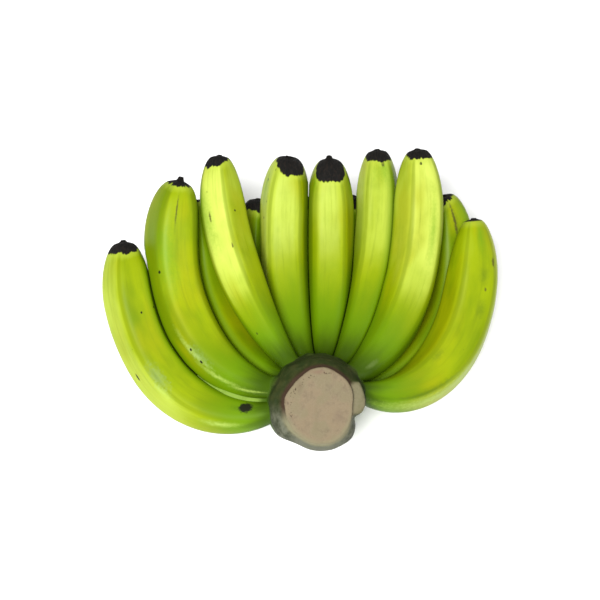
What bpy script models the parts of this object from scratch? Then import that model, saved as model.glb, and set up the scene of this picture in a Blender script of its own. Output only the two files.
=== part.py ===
"""A hand of green bananas: a cut crown and two rows of fingers, lying on the backs of its outer row."""

import math
from dataclasses import dataclass

import bmesh
import bpy
import numpy as np

# All lengths are in metres and all angles in degrees.
# The hand is drawn in its own axes: ACROSS is to the right, AWAY points away from the cut face of
# the crown, and ALONG is the way the tips point. The crown's middle is at the origin of these axes.
ACROSS = np.array([1.0, 0.0, 0.0])
AWAY = np.array([0.0, 1.0, 0.0])
ALONG = np.array([0.0, 0.0, 1.0])

REST_LIFT = 30.0  # ALONG points this far above the floor when the hand lies at rest
FLAT_DEPTH = 0.0020  # how deep the floor presses the lowest peel flat
SKIN_GAP = 0.0012  # left between two fingers that lean on each other
PRESS_STEPS = 9  # halvings in the search for how far a point may stay from its finger's middle
DEEPEST_PRESS = 0.2  # no point comes nearer the middle than this share of its own distance
CROWN_GAP = 0.0003  # left between a stalk and the crown that it grows from

SIDES = 15  # points round a finger: three to each of its five faces
BODY_RINGS = 20
RING_EVENNESS = 0.35  # 1 spaces the rings evenly, less draws them together at the blossom end
STALK_SINK = 0.006  # how far a stalk is carried back inside the crown before it is cut off
STALK_SHARE = 0.40  # half width of the stalk, as a share of the finger's
STALK_LENGTH = 0.008
SWELL_LENGTH = 0.100  # from the end of the stalk to the full width
TAPER_LENGTH = 0.044  # from the full width to the blossom end
BLOSSOM_SHARE = 0.28  # half width of the blossom end, as a share of the finger's
DEPTH_SHARE = 1.08  # a finger is a little deeper, in the plane of its bend, than it is wide
RIDGE_HEIGHT = 0.050  # of the five soft ridges, as a share of the half width
RIDGE_SHARPNESS = 0.007
RIDGE_START, FAINTEST_RIDGE = 0.35, 0.15  # ridges grow where the finger is thicker than this share
STUB_RADIUS = 0.0034  # of the dry stub on the blossom end
STUB_RINGS = ((0.3, 1.0), (1.0, 0.75))  # how far out along the stub, and its share of the radius

CROWN_SIDES = 30
FACE_LEVEL = -0.0215  # of the cut face, along AWAY
FACE_HALF_WIDTH = 0.0232
FACE_HALF_HEIGHT = 0.0272
COLLAR_RADIUS = 0.0325


@dataclass(frozen=True)
class Finger:
    """One banana. Its middle line bends in the plane of ALONG and the way that it leans out."""

    name: str
    bearing: float  # where its stalk leaves the crown, clockwise from ALONG, seen on the cut face
    fan: float  # which way it leans out: 0 is straight AWAY, 90 is ACROSS
    leave: float  # its angle from ALONG at the stalk
    curl: float  # its angle from ALONG at the tip, below 0 where it curls back over the crown
    bend: float  # 1 bends evenly, more puts the bend near the stalk
    length: float
    width: float
    root_radius: float
    root_level: float
    roll: float  # turns the five ridges round the finger
    twist: float = 0.0  # how much further they have turned at the tip
    stub: float = 0.0015
    belly: float = 0.0  # how far the widening past the stalk goes to the outer side of the bend, 0 to 1


FINGERS = (
    Finger("banana_inner_1", -104, -66, 106, 4, 1.45, 0.198, 0.0380, 0.028, 0.002, 30, 22, 0.0025, 0.9),
    Finger("banana_inner_2", -72, -57, 93, -16, 1.3, 0.206, 0.0390, 0.030, 0.002, 50, 0, 0.0045),
    Finger("banana_inner_3", -36, -44, 55, -3, 0.85, 0.187, 0.0330, 0.027, 0.004, 20),
    Finger("banana_inner_4", -14, -15, 86, -20, 1.5, 0.195, 0.0380, 0.0255, 0.009, 4),
    Finger("banana_inner_5", 7, 6, 86, -20, 1.5, 0.192, 0.0360, 0.0255, 0.009, 22, 0, 0.0040),
    Finger("banana_inner_6", 28, 24, 76, -8, 1.3, 0.206, 0.0340, 0.0255, 0.009, 46),
    Finger("banana_inner_7", 50, 38, 80, -10, 1.3, 0.215, 0.0380, 0.027, 0.000, 0),
    Finger("banana_inner_8", 76, 57, 105, -6, 1.4, 0.191, 0.0390, 0.027, 0.002, 11, 0, 0.0015, 0.8),
    Finger("banana_outer_1", -55, -48, 90, -8, 1.25, 0.188, 0.0350, 0.022, 0.014, 10),
    Finger("banana_outer_2", -24, -30, 102, -12, 1.6, 0.190, 0.0350, 0.014, 0.024, 30),
    Finger("banana_outer_3", 0, -6, 102, -12, 1.6, 0.192, 0.0350, 0.014, 0.024, 48),
    Finger("banana_outer_4", 20, 17, 102, -12, 1.6, 0.194, 0.0350, 0.014, 0.025, -1),
    Finger("banana_outer_5", 45, 34, 102, -12, 1.45, 0.206, 0.0350, 0.014, 0.024, 34),
    Finger("banana_outer_6", 70, 51, 104, -24, 1.1, 0.226, 0.0360, 0.018, 0.024, 14),
)

# Swellings and notches in the crown's collar: bearing, height and half angle of each.
COLLAR_LOBES = ((-104, 0.0045, 20), (-128, -0.0030, 9), (92, 0.0025, 14), (116, -0.0055, 11))
# Share of the way from the cut face's outline to the collar's, at each level along AWAY.
CROWN_LEVELS = (
    (FACE_LEVEL, 0.00, 0.94),
    (FACE_LEVEL + 0.0012, 0.06, 1.00),
    (FACE_LEVEL + 0.0060, 0.42, 1.00),
    (FACE_LEVEL + 0.0130, 0.86, 1.00),
    (-0.002, 1.00, 1.00),
    (0.005, 1.00, 1.06),
    (0.013, 1.00, 1.04),
    (0.022, 1.00, 0.90),
    (0.030, 1.00, 0.66),
    (0.036, 1.00, 0.36),
)

GREENS = ((0.42, 0.55, 0.03), (0.36, 0.50, 0.03), (0.48, 0.60, 0.05))
CROWN_COLOUR = (0.26, 0.22, 0.14)


def unit(rows):
    return rows / np.linalg.norm(rows, axis=-1, keepdims=True)


def lean_of(finger):
    """The way that a finger leans out, and the way across it."""
    fan = math.radians(finger.fan)
    lean = math.sin(fan) * ACROSS + math.cos(fan) * AWAY
    return lean, np.cross(lean, ALONG)


def middle_line(finger, steps=240):
    """Points and directions at even steps along the finger, from its root to its blossom end."""
    lean, across = lean_of(finger)
    left = 1.0 - np.linspace(0.0, 1.0, steps + 1)
    angle = np.radians(finger.curl + (finger.leave - finger.curl) * left**finger.bend)
    ways = np.outer(np.sin(angle), lean) + np.outer(np.cos(angle), ALONG)
    moves = (ways[1:] + ways[:-1]) / 2 * finger.length / steps
    bearing = math.radians(finger.bearing)
    root = finger.root_radius * (math.sin(bearing) * ACROSS + math.cos(bearing) * ALONG)
    root = root + finger.root_level * AWAY
    line = root + np.vstack([np.zeros(3), np.cumsum(moves, axis=0)])
    widening = body_share(np.linspace(0.0, finger.length, steps + 1)) - STALK_SHARE
    bulge = finger.belly * finger.width / 2 * widening
    return line + bulge[:, None] * np.cross(ways, across), ways


def body_share(at):
    """The width at a distance from the root, as a share of the full width, before it tapers to the tip."""
    swell = np.clip((at - STALK_LENGTH) / SWELL_LENGTH, 0.0, 1.0)
    return STALK_SHARE + (1 - STALK_SHARE) * np.sin(swell * math.pi / 2)


def half_width(finger, at):
    """Half the finger's width at a distance from its root."""
    taper = np.clip((finger.length - at) / TAPER_LENGTH, 0.0, 1.0)
    tip = BLOSSOM_SHARE + (1 - BLOSSOM_SHARE) * np.sqrt(1 - (1 - taper) ** 2)
    return finger.width / 2 * body_share(at) * tip


def ring_places(finger):
    """Distances from the root, and half widths, of a finger's rings, from its sunk end to its stub."""
    share = np.linspace(0.0, 1.0, BODY_RINGS)
    crowded = np.sin(share * math.pi / 2)
    at = finger.length * (RING_EVENNESS * share + (1 - RING_EVENNESS) * crowded)
    radius = half_width(finger, at)
    out, narrow = np.array(STUB_RINGS).T
    at = np.concatenate([[-STALK_SINK], at, finger.length + out * finger.stub])
    radius = np.concatenate([radius[:1], radius, narrow * STUB_RADIUS])
    return at, radius


def ring_points(finger):
    """The points of each ring, and each ring's middle."""
    line, ways = middle_line(finger)
    at, radius = ring_places(finger)
    step = np.clip(at / finger.length, 0.0, 1.0) * (len(line) - 1)
    middle = np.stack([np.interp(step, range(len(line)), line[:, axis]) for axis in range(3)], axis=1)
    way = unit(np.stack([np.interp(step, range(len(line)), ways[:, axis]) for axis in range(3)], axis=1))
    middle += way * (at - np.clip(at, 0.0, finger.length))[:, None]
    across = lean_of(finger)[1]
    back = unit(np.cross(way, across))
    turn = np.arange(SIDES) * 2 * math.pi / SIDES
    share = np.clip(at / finger.length, 0.0, 1.0)[:, None]
    theta = turn[None, :] + np.radians(finger.roll + finger.twist * share)
    # The ridges are strongest along the body and fade into the round stalk and the blossom end.
    thickness = half_width(finger, at) / (finger.width / 2)
    strength = np.clip((thickness - RIDGE_START) / (1 - RIDGE_START), FAINTEST_RIDGE, 1.0)[:, None]
    ridge = RIDGE_HEIGHT * np.cos(5 * turn) + RIDGE_SHARPNESS * np.cos(10 * turn)
    reach = radius[:, None] * (1 + strength * ridge[None, :])
    side = (reach * np.cos(theta))[..., None] * across
    deep = (DEPTH_SHARE * reach * np.sin(theta))[..., None] * back[:, None, :]
    return middle[:, None, :] + side + deep, middle


def room_left(points, finger):
    """How far each point lies from a finger's peel, and below 0 inside it, as if it were round."""
    line, _ = middle_line(finger)
    radius = half_width(finger, np.linspace(0.0, finger.length, len(line)))
    apart = np.linalg.norm(points[..., None, :] - line, axis=-1)
    return (apart - radius).min(axis=-1)


def lean_on_each_other(shapes):
    """Presses fingers flat where they meet: no point passes halfway into the gap to another finger."""
    for number, (points, middle) in enumerate(shapes):
        for other_number, other in enumerate(FINGERS):
            if other_number == number:
                continue
            low, high = np.zeros(points.shape[:2]), np.ones(points.shape[:2])
            offset = points - middle[:, None, :]
            for _ in range(PRESS_STEPS):
                share = (low + high) / 2
                trial = middle[:, None, :] + offset * share[..., None]
                spare = room_left(trial, other) - room_left(trial, FINGERS[number])
                fits = spare > SKIN_GAP
                low, high = np.where(fits, share, low), np.where(fits, high, share)
            whole = room_left(points, other) - room_left(points, FINGERS[number]) > SKIN_GAP
            share = np.where(whole, 1.0, np.maximum(low, DEEPEST_PRESS))
            points = middle[:, None, :] + offset * share[..., None]
        shapes[number] = (points, middle)


def crown_outline(turn):
    """The cut face's and the collar's distance from the middle, at angles clockwise from ALONG."""
    face = FACE_HALF_WIDTH * FACE_HALF_HEIGHT / np.hypot(
        FACE_HALF_HEIGHT * np.sin(turn), FACE_HALF_WIDTH * np.cos(turn)
    )
    collar = np.full_like(turn, COLLAR_RADIUS)
    for bearing, height, half_angle in COLLAR_LOBES:
        off = np.degrees(np.angle(np.exp(1j * (turn - math.radians(bearing)))))
        collar += height * np.exp(-((off / half_angle) ** 2))
    return face, collar


def crown_rings(swell=0.0):
    """The crown's rings from the cut face to its back, each grown by swell."""
    turn = np.arange(CROWN_SIDES) * 2 * math.pi / CROWN_SIDES
    face, collar = crown_outline(turn)
    spoke = np.sin(turn)[:, None] * ACROSS + np.cos(turn)[:, None] * ALONG
    rings = []
    for number, (level, share, shrink) in enumerate(CROWN_LEVELS):
        reach = (face + (collar - face) * share) * shrink + swell
        ends = {0: -swell, len(CROWN_LEVELS) - 1: swell}
        rings.append(spoke * reach[:, None] + (level + ends.get(number, 0.0)) * AWAY)
    return np.array(rings)


def lying(points):
    """Turns points from the hand's own axes to the way it lies, with Z up."""
    lift = math.radians(REST_LIFT)
    across = np.array([1.0, 0.0, 0.0])
    away = np.array([0.0, math.sin(lift), -math.cos(lift)])
    along = np.array([0.0, math.cos(lift), math.sin(lift)])
    return points @ np.stack([across, away, along])


def new_material(name, colour, roughness):
    material = bpy.data.materials.new(name)
    material.use_nodes = True
    shader = material.node_tree.nodes["Principled BSDF"]
    shader.inputs["Base Color"].default_value = (*colour, 1.0)
    shader.inputs["Roughness"].default_value = roughness
    material.diffuse_color = (*colour, 1.0)
    return material


def skin_object(name, rings, material):
    """An object whose skin runs from ring to ring, drawn out of a first circle and closed at both ends."""
    mesh = bmesh.new()
    made = bmesh.ops.create_circle(mesh, cap_ends=True, segments=rings.shape[1], radius=1.0)
    loop = made["verts"]
    for vert, place in zip(loop, rings[0]):
        vert.co = place
    edges = mesh.edges[:]
    for ring in rings[1:]:
        drawn = bmesh.ops.extrude_edge_only(mesh, edges=edges)["geom"]
        edges = [part for part in drawn if isinstance(part, bmesh.types.BMEdge)]
        fresh = [part for part in drawn if isinstance(part, bmesh.types.BMVert)]
        edges = [edge for edge in edges if all(vert in fresh for vert in edge.verts)]
        old_of = {}
        for vert in fresh:
            for edge in vert.link_edges:
                old = edge.other_vert(vert)
                if old not in fresh:
                    old_of[old] = vert
        loop = [old_of[vert] for vert in loop]
        for vert, place in zip(loop, ring):
            vert.co = place
    bmesh.ops.edgeloop_fill(mesh, edges=edges)
    bmesh.ops.triangulate(mesh, faces=[face for face in mesh.faces if len(face.verts) > 4])
    bmesh.ops.recalc_face_normals(mesh, faces=mesh.faces)
    data = bpy.data.meshes.new(name)
    mesh.to_mesh(data)
    mesh.free()
    data.materials.append(material)
    data.shade_smooth()
    data.set_sharp_from_angle(angle=math.radians(50))
    thing = bpy.data.objects.new(name, data)
    bpy.context.collection.objects.link(thing)
    return thing


def build():
    for thing in list(bpy.data.objects):
        bpy.data.objects.remove(thing)
    shapes = [ring_points(finger) for finger in FINGERS]
    lean_on_each_other(shapes)
    fingers = [lying(points) for points, _ in shapes]
    crown, cutter = lying(crown_rings()), lying(crown_rings(CROWN_GAP))
    every = np.concatenate([points.reshape(-1, 3) for points in [*fingers, crown]])
    low, high = every.min(axis=0), every.max(axis=0)
    floor = np.array([*(low + high)[:2] / 2, low[2] + FLAT_DEPTH])

    crown_material = new_material("crown_rind", CROWN_COLOUR, 0.75)
    skin_object("crown", crown - floor, crown_material)
    cut = skin_object("crown_cutter", cutter - floor, crown_material)
    cut.hide_render = True
    cut.display_type = "WIRE"
    for number, (finger, points) in enumerate(zip(FINGERS, fingers)):
        points = points - floor
        points[..., 2] = np.maximum(points[..., 2], 0.0)
        green = new_material(f"peel_{number + 1}", GREENS[number % len(GREENS)], 0.45)
        thing = skin_object(finger.name, points, green)
        trim = thing.modifiers.new("trim_at_crown", "BOOLEAN")
        trim.operation = "DIFFERENCE"
        trim.object = cut


build()
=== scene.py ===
# %% [markdown]
# # A hand of green bananas
# A hand of bananas is what a picker cuts from the big hanging stem: one woody crown with two nested
# rows of fingers. This notebook dresses a plain solid model of it. Each finger is moulded from a
# straight tube, as clay would be, and then bent. The crown is fused from a stub and short sleeves.

import math
from dataclasses import dataclass

import bmesh
import bpy
import numpy as np
from mathutils import Matrix, Vector


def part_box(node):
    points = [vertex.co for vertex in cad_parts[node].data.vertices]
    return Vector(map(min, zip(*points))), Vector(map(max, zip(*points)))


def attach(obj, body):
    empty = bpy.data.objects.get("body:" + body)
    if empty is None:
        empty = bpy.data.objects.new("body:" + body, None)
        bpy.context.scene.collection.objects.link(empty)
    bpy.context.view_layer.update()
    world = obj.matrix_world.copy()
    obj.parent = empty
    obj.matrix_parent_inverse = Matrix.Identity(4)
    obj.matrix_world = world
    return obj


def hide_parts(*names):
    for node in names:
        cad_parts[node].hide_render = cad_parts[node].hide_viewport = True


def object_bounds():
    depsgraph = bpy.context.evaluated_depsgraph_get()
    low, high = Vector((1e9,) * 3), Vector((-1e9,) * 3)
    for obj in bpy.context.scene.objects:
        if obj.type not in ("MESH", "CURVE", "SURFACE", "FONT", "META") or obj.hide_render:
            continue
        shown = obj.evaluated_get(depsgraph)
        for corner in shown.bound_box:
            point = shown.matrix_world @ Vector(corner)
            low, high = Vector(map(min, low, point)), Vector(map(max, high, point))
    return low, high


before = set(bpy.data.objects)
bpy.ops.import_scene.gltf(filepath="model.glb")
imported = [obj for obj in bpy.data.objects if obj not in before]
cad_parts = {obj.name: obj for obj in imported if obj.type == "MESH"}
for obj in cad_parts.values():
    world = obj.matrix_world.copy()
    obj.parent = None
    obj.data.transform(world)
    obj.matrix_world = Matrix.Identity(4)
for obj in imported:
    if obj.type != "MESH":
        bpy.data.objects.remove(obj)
cad_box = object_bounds()
sides = [round(side, 4) for side in cad_box[1] - cad_box[0]]
print("solid model:", len(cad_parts), "pieces, sides", sides)

# %% [markdown]
# ## The hand's own axes
# A hand is easier to draw in axes of its own than as it lies. ACROSS is to the right, AWAY points from
# the cut face into the hand, and ALONG is the way the tips point. One turn at the end lays the hand
# down, and the camera uses the same turn. What comes near a side of the solid model's box is eased
# in, so that nothing is cut off flat.

# %% Axes, and the turn that lays the hand down
ACROSS = np.array([1.0, 0.0, 0.0])
AWAY = np.array([0.0, 1.0, 0.0])
ALONG = np.array([0.0, 0.0, 1.0])
REST_LIFT = math.radians(30.0)
# From the crown's middle to the floor's point below the hand's middle, once turned, as in the solids.
FLOOR_UNDER = np.array([-0.011785, 0.088056, -0.075359])
EASE = 0.0016  # how near to the box's sides the easing starts


def lying(points):
    """Turns points from the hand's own axes and sets them down on the floor."""
    away = np.array([0.0, math.sin(REST_LIFT), -math.cos(REST_LIFT)])
    along = np.array([0.0, math.cos(REST_LIFT), math.sin(REST_LIFT)])
    return points @ np.stack([ACROSS, away, along]) - FLOOR_UNDER


def kept_inside(points):
    """Eases in what is near the sides or top of the solid model's box, and flattens it at the floor."""
    lowest, highest = np.array(cad_box)
    middle, half = (lowest + highest) / 2, (highest - lowest) / 2
    off = points - middle
    near = np.maximum(np.abs(off) - (half - EASE), 0.0)
    eased = np.sign(off) * (np.abs(off) - near + EASE * np.tanh(near / EASE)) + middle
    eased[:, 2] = np.where(points[:, 2] < middle[2], np.maximum(points[:, 2], 0.0), eased[:, 2])
    return eased


def unit(rows):
    """Each row made one long."""
    return rows / np.linalg.norm(rows, axis=-1, keepdims=True)


def between(rows, step):
    """A table's values at steps that may lie between its rows, one row for each step."""
    return np.stack([np.interp(step, range(len(rows)), column) for column in np.array(rows).T], axis=1)


print("crown's middle lies at", lying(np.zeros(3)).round(4))

# %% [markdown]
# ## The fingers' measures
# Every finger is the same organ with other numbers, so one list of named measures describes them
# all. The bend lies in one plane, because a growing finger just turns upwards.
# The named values after the first line set one finger apart: its twist, belly and slimmer tip, how far
# the black blossom end and the deep green reach, and how pale each of its five faces is. The deep green
# is partly painted shade near the crown. The paleness is partly painted light: faces that catch the
# light are painted paler, and faces in shade more olive.


# %% One line of measures for each finger
@dataclass(frozen=True)
class Finger:
    """One banana. Its middle line bends in the plane of ALONG and the way that it leans out."""

    name: str
    bearing: float  # where its stalk leaves the crown, clockwise from ALONG
    fan: float  # which way it leans out: 0 is straight AWAY, 90 is ACROSS
    leave: float  # its angle from ALONG at the stalk
    curl: float  # and at the tip, below 0 where it curls back over the crown
    bend: float  # 1 bends evenly, more puts the bend near the stalk
    length: float
    width: float
    root_radius: float  # how far its root lies from the crown's middle
    root_level: float  # and how far behind the crown's middle, along AWAY
    roll: float  # turns the five ridges round the finger
    twist: float = 0.0  # how much further the ridges have turned at the tip
    stub: float = 0.0015  # length of the dry stub at its end
    belly: float = 0.0  # 0 swells evenly, 1 only to the outside of the bend
    nose: float = 0.0  # how much slimmer it gets towards the blossom end
    cap: float = 0.004  # how far the black blossom end reaches along the peel
    tongue: float = 0.004  # how much further it reaches on one side
    tongue_turn: float = 0.0  # where that side is: 0 faces the way that the cut face looks
    # The deep green is partly painted shade, where the crown keeps light from the stalks.
    green: float = 0.085  # how far from the crown the deep green reaches
    # The faces' paleness is partly painted light: lit faces are painted paler, shaded faces more olive.
    face_tones_with_painted_light: tuple = (0.2, 0.2, 0.2, 0.2, 0.2)  # of its five faces: 0 is olive green, 1 is pale


FINGERS = (
    Finger(
        "banana_inner_1", -104, -66, 106, 4, 1.45, 0.198, 0.0380, 0.028, 0.002, 30,
        twist=22, stub=0.0025, belly=0.9, nose=0.10, tongue_turn=-10, green=0.060,
        face_tones_with_painted_light=(0.3, 0.8, 0.25, 0.3, 0.3),
    ),
    Finger(
        "banana_inner_2", -72, -57, 93, -16, 1.3, 0.206, 0.0390, 0.030, 0.002, 50,
        stub=0.0045, cap=0.0008, tongue=0.001, green=0.080, face_tones_with_painted_light=(0.3, 0.05, 0.4, 0.22, 0.3),
    ),
    Finger(
        "banana_inner_3", -36, -44, 55, -3, 0.85, 0.187, 0.0330, 0.027, 0.004, 20,
        nose=0.04, cap=0.003, tongue=0.006, tongue_turn=-45, green=0.080,
        face_tones_with_painted_light=(0.4, 0.15, 1.5, 0.6, 0.4),
    ),
    Finger(
        "banana_inner_4", -14, -15, 86, -20, 1.5, 0.195, 0.0380, 0.0255, 0.009, 4,
        cap=0.0010, tongue=0.0090, tongue_turn=26, green=0.118, face_tones_with_painted_light=(0.4, 0.6, 1.1, 0.98, 0.5),
    ),
    Finger(
        "banana_inner_5", 7, 6, 86, -20, 1.5, 0.192, 0.0360, 0.0255, 0.009, 22,
        stub=0.0040, cap=0.0018, tongue=0.0115, tongue_turn=5, green=0.125,
        face_tones_with_painted_light=(0.4, 0.4, 0.6, 0.9, 0.55),
    ),
    Finger(
        "banana_inner_6", 28, 24, 76, -8, 1.3, 0.206, 0.0340, 0.0255, 0.009, 46,
        nose=0.04, tongue_turn=15, green=0.115, face_tones_with_painted_light=(0.4, 0.4, 0.95, 0.95, 0.4),
    ),
    Finger(
        "banana_inner_7", 50, 38, 80, -10, 1.3, 0.215, 0.0380, 0.027, 0.000, 0,
        nose=0.12, cap=0.003, tongue_turn=20, green=0.105, face_tones_with_painted_light=(0.3, 0.4, 0.4, 0.74, 1.4),
    ),
    Finger(
        "banana_inner_8", 76, 57, 105, -6, 1.4, 0.191, 0.0390, 0.027, 0.002, 11,
        belly=0.8, nose=0.22, cap=-0.0010, tongue=0.001, green=0.060,
        face_tones_with_painted_light=(0.7, 0.4, 0.3, 0.3, 0.32),
    ),
    Finger(
        "banana_outer_1", -55, -48, 90, -8, 1.25, 0.188, 0.0350, 0.022, 0.014, 10,
        cap=0.001, tongue=0.0, green=0.060,
    ),
    Finger("banana_outer_2", -24, -30, 102, -12, 1.6, 0.190, 0.0350, 0.014, 0.024, 30),
    Finger("banana_outer_3", 0, -6, 102, -12, 1.6, 0.192, 0.0350, 0.014, 0.024, 48),
    Finger("banana_outer_4", 20, 17, 102, -12, 1.6, 0.194, 0.0350, 0.014, 0.025, -1),
    Finger("banana_outer_5", 45, 34, 102, -12, 1.45, 0.206, 0.0350, 0.014, 0.024, 34),
    Finger(
        "banana_outer_6", 70, 51, 104, -24, 1.1, 0.226, 0.0360, 0.018, 0.024, 14,
        cap=0.001, tongue_turn=-60,
    ),
)
lengths = [finger.length for finger in FINGERS]
print(len(FINGERS), "fingers,", min(lengths), "to", max(lengths), "m long")

# %% [markdown]
# ## The middle line and the swelling of a finger
# A finger could be a curve with a bevel, but then its five soft faces and its black end would need
# tricks. A few small functions say plainly where its middle runs and how thick it is at each place.
# The stalk is thin, the body swells over 100 mm and the end tapers quickly.

# %% Where the middle runs
STALK_SHARE, STALK_LENGTH, SWELL_LENGTH = 0.40, 0.008, 0.100
TAPER_LENGTH, BLOSSOM_SHARE = 0.044, 0.28


def lean_of(finger):
    """The way that a finger leans out, and the way across it."""
    fan = math.radians(finger.fan)
    lean = math.sin(fan) * ACROSS + math.cos(fan) * AWAY
    return lean, np.cross(lean, ALONG)


def body_share(at):
    """Thickness at each distance from the root, from a thin stalk to the full body."""
    swell = np.clip((at - STALK_LENGTH) / SWELL_LENGTH, 0.0, 1.0)
    return STALK_SHARE + (1 - STALK_SHARE) * np.sin(swell * math.pi / 2)


def half_width(finger, at):
    """Half the finger's width at each distance from its root."""
    taper = np.clip((finger.length - at) / TAPER_LENGTH, 0.0, 1.0)
    tip = BLOSSOM_SHARE + (1 - BLOSSOM_SHARE) * np.sqrt(1 - (1 - taper) ** 2)
    return finger.width / 2 * body_share(at) * tip


def middle_line(finger, steps=240):
    """Points and directions at even steps along the finger."""
    lean, across = lean_of(finger)
    left = 1.0 - np.linspace(0.0, 1.0, steps + 1)
    angle = np.radians(finger.curl + (finger.leave - finger.curl) * left**finger.bend)
    ways = np.outer(np.sin(angle), lean) + np.outer(np.cos(angle), ALONG)
    moves = (ways[1:] + ways[:-1]) / 2 * finger.length / steps
    bearing = math.radians(finger.bearing)
    root = finger.root_radius * (math.sin(bearing) * ACROSS + math.cos(bearing) * ALONG)
    line = root + finger.root_level * AWAY + np.vstack([np.zeros(3), np.cumsum(moves, axis=0)])
    widening = body_share(np.linspace(0.0, finger.length, steps + 1)) - STALK_SHARE
    bulge = finger.belly * finger.width / 2 * widening
    return line + bulge[:, None] * np.cross(ways, across), ways


first_line, _ = middle_line(FINGERS[0])
print("first finger's tip in the hand's axes:", first_line[-1].round(4))

# %% [markdown]
# ## A straight tube first
# Every finger starts as the same upright tube from Blender's cone operator, with its side cut into
# rings. Poking the two caps gives each a centre point. Only then are the points moved, all at once, so
# the faces never have to be listed by hand.

# %% The straight tube
SIDES, RINGS = 70, 110


def straight_tube(sides, cuts):
    """An upright tube of radius 1 and height 1, cut into even rings and closed at both ends."""
    tube = bmesh.new()
    bmesh.ops.create_cone(tube, cap_ends=True, segments=sides, radius1=1.0, radius2=1.0, depth=1.0)
    caps = [face for face in tube.faces if len(face.verts) == sides]
    bmesh.ops.poke(tube, faces=caps)
    upright = [edge for edge in tube.edges if abs(edge.verts[0].co.z - edge.verts[1].co.z) > 0.9]
    bmesh.ops.subdivide_edges(tube, edges=upright, cuts=cuts)
    return tube


def points_of(shape):
    """The places of a shape's points, one row each."""
    shape.verts.ensure_lookup_table()
    return np.array([vert.co for vert in shape.verts])


def move_points(shape, places):
    for vert, place in zip(shape.verts, places):
        vert.co = place


trial = straight_tube(SIDES, RINGS)
print("one finger's tube:", len(trial.verts), "points,", len(trial.faces), "faces")
trial.free()

# %% [markdown]
# ## Moulding and bending
# Each point keeps how far along the straight tube it is, and how far round. The finger has five flat
# faces with soft ridges between them. The rings are crowded at the blossom end, where the shape
# changes fastest. That end is a torn, dry scar, so its rim is uneven.

# %% From straight tube to bent finger
FACE_DISTANCE, CORNER_DISTANCE = 0.945, 1.060  # of a flat face and of a ridge, as shares of the half width
CORNER_SHARPNESS = 48  # higher makes the change from face to ridge more sudden
RIDGE_START, FAINTEST_RIDGE = 0.35, 0.15  # the stalk, under this thickness, has only faint ridges
DEPTH_SHARE = 1.08  # a finger is a little deeper than wide
NOSE_LENGTH, NOSE_CURVE = 0.060, 1.5
STALK_SINK = 0.006  # how far the stalk goes into the crown
CROWDING = 0.65  # 0 spaces the rings evenly, 1 crowds them most at the blossom end
STUB_RADIUS, STUB_TAPER, STUB_BLEND = 0.0034, 0.45, 3  # a third of the stub blends into the peel
TORN_HEIGHT, TORN_RISE, TORN_DELAY = 0.0006, 2, 0.4  # torn from a fifth of the stub's length onwards
RAGGED = ((3, 0.45), (5, 0.35), (8, 0.30), (13, 0.20))  # waves round the torn rim, and their heights


def five_sided(turn):
    """Distance from the middle at each angle, for a round tube with five flat faces between soft ridges."""
    off_face = (turn % (2 * math.pi / 5)) - math.pi / 5
    face = FACE_DISTANCE / np.cos(off_face)
    return (face**-CORNER_SHARPNESS + CORNER_DISTANCE**-CORNER_SHARPNESS) ** (-1 / CORNER_SHARPNESS)


def spine(finger, at):
    """Points of the middle line at each distance from the root, and its direction there."""
    line, ways = middle_line(finger)
    step = np.clip(at / finger.length, 0.0, 1.0) * (len(line) - 1)
    way = unit(between(ways, step))
    beyond = at - np.clip(at, 0.0, finger.length)
    return between(line, step) + way * beyond[:, None], way


def moulded(finger, seed, round_share, turn, height):
    """Places for the tube's points on the bent finger, with their distance from the root."""
    crowded = (1 - CROWDING) * height + CROWDING * np.sin(height * math.pi / 2)
    total = finger.length + finger.stub
    at = -STALK_SINK + (total + STALK_SINK) * crowded
    radius = half_width(finger, np.clip(at, 0.0, finger.length))
    near_tip = np.clip(1 - (finger.length - at) / NOSE_LENGTH, 0.0, 1.0)
    radius *= 1 - finger.nose * near_tip**NOSE_CURVE
    past = np.clip((at - finger.length) / finger.stub, 0.0, 1.0)
    stub_radius = STUB_RADIUS * (1 - STUB_TAPER * past)
    radius = radius + (stub_radius - radius) * np.clip(past * STUB_BLEND, 0.0, 1.0)
    thickness = radius / (finger.width / 2)
    strength = np.clip((thickness - RIDGE_START) / (1 - RIDGE_START), FAINTEST_RIDGE, 1.0)
    torn = sum(high * (np.cos(waves * turn + seed * waves) - 1) for waves, high in RAGGED)
    reach = radius * round_share * (1 + strength * (five_sided(turn) - 1))
    at = at + TORN_HEIGHT * torn * np.clip(past * TORN_RISE - TORN_DELAY, 0.0, 1.0) * round_share
    middle, way = spine(finger, at)
    across = lean_of(finger)[1]
    back = unit(np.cross(way, across))
    theta = turn + np.radians(finger.roll + finger.twist * np.clip(at / finger.length, 0.0, 1.0))
    side = (reach * np.cos(theta))[:, None] * across
    deep = (DEPTH_SHARE * reach * np.sin(theta))[:, None] * back
    return middle + side + deep, middle, at


# %% [markdown]
# ## Fingers that lean on each other
# Packed fingers press each other flat. A physics simulation could find this, but a search is steadier.
# It takes every finger as round. A point nearer to a neighbour's round skin than to its own is drawn
# back towards its own middle, so both skins stop half way, and a hair's gap stays as a dark seam. The
# search also tells how close the neighbours are. There the peel is painted darker green: partly the
# greener colour of peel that grew in their shade, partly painted shade between the fingers.

# %% Pressing neighbours flat
SKIN_GAP = 0.0007
NEAR_STEPS, HALVINGS = 100, 9  # steps of the coarser middle line, and rounds of the search
THINNEST = 0.2  # the least share of its thickness that a pressed finger keeps
# Within this distance of a neighbour the peel is painted darker green, partly as painted shade.
PAINTED_SHADE_WITHIN = 0.010  # so near to a neighbour the peel gets less sun


def room_left(points, finger):
    """How far each point lies from a finger's peel, and below 0 inside it, as if it were round."""
    line, _ = middle_line(finger, NEAR_STEPS)
    radius = half_width(finger, np.linspace(0.0, finger.length, len(line)))
    apart = np.linalg.norm(points[:, None, :] - line, axis=-1)
    return (apart - radius).min(axis=-1)


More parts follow.
